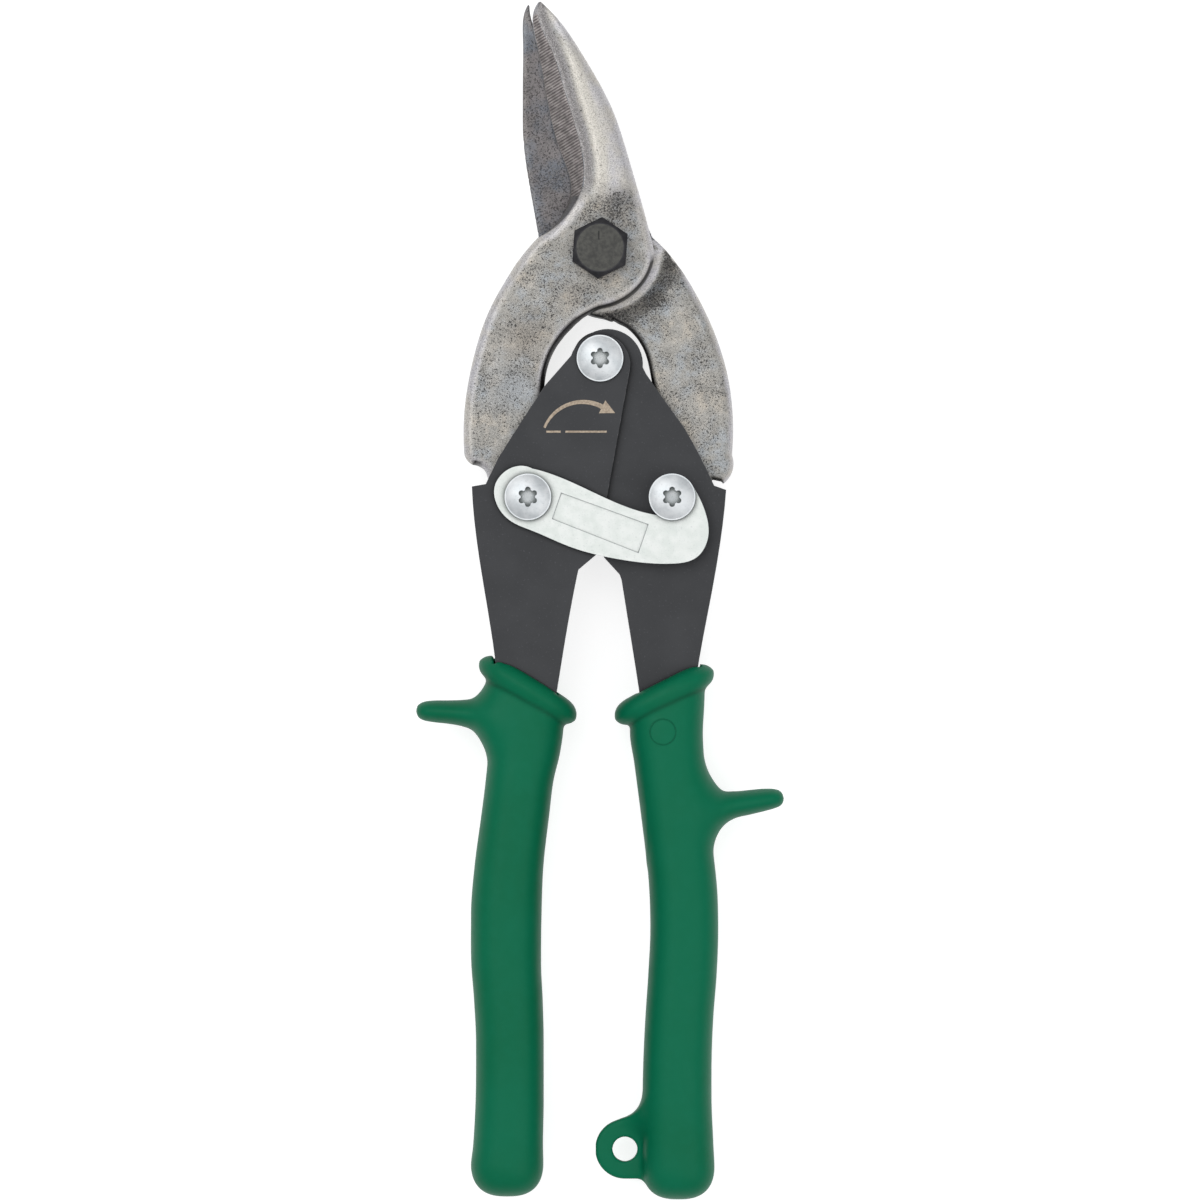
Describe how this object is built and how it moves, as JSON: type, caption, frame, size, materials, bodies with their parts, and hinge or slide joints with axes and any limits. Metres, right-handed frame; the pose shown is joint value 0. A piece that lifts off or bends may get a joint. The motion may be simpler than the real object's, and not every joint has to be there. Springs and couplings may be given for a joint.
{
  "type": "aviation snips",
  "caption": "Compound-action sheet-metal snips with offset blades, folded-steel handles, moulded green grips, a latch plate and a hang tab.",
  "frame": {"origin": "middle of the footprint, on the surface that the tool lies on: the back of the pivot nut and the two grip collars touch it", "axes": "+Y along the tool towards the blade tips, +Z along every pivot's axis towards the side with the screw heads and the latch, +X to the right seen from that side"},
  "size_m": [0.0768, 0.2502, 0.0206],
  "materials": {
    "forged_steel": "blasted forged steel, fine dark pits",
    "black_oxide": "black oxide, turned face",
    "black_plate": "flat charcoal coating",
    "zinc_fastener": "bright blue-white zinc",
    "zinc_latch": "white zinc, satin",
    "spring_steel": "oiled spring steel",
    "green_grip": "satin moulded green vinyl"
  },
  "bodies": {
    "left_handle": {"left_handle": "black_plate", "left_grip": "green_grip", "handle_pivot_screw": "zinc_fastener", "handle_pivot_barrel": "zinc_fastener", "left_arm_screw": "zinc_fastener", "left_arm_barrel": "zinc_fastener", "latch_wave_washer": "zinc_fastener", "spring_bushing": "spring_steel", "return_spring": "spring_steel"},
    "right_handle": {"right_handle": "black_plate", "right_grip": "green_grip", "right_arm_screw": "zinc_fastener", "right_arm_barrel": "zinc_fastener", "right_spacer_washer": "zinc_fastener"},
    "front_jaw": {"front_jaw": "forged_steel", "pivot_bolt": "black_oxide", "pivot_nut": "black_oxide", "pivot_washer": "black_oxide"},
    "rear_jaw": {"rear_jaw": "forged_steel"},
    "latch": {"latch": "zinc_latch"}
  },
  "joints": [
    {"name": "handle_pivot", "type": "hinge", "parent": "left_handle", "child": "right_handle", "pos_m": [0, 0.05035, 0.01], "axis": [0, 0, 1], "range_deg": [0, 30], "deforming": ["return_spring"]},
    {"name": "left_arm_pivot", "type": "hinge", "parent": "left_handle", "child": "front_jaw", "pos_m": [-0.015, 0.02145, 0.01], "axis": [0, 0, 1], "range_deg": [0, 7.03]},
    {"name": "right_arm_pivot", "type": "hinge", "parent": "right_handle", "child": "rear_jaw", "pos_m": [0.015, 0.02145, 0.01], "axis": [0, 0, 1], "range_deg": [-7.03, 0]},
    {"name": "latch_pivot", "type": "hinge", "parent": "left_handle", "child": "latch", "pos_m": [-0.015, 0.02145, 0.01], "axis": [0, 0, 1], "range_deg": [-60.01, 0]}
  ],
  "couplings": [
    {"joint": "left_arm_pivot", "follows": "handle_pivot", "ratio": 0.234},
    {"joint": "right_arm_pivot", "follows": "handle_pivot", "ratio": -0.234},
    {"joint": "latch_pivot", "follows": "handle_pivot", "ratio": -2}
  ]
}
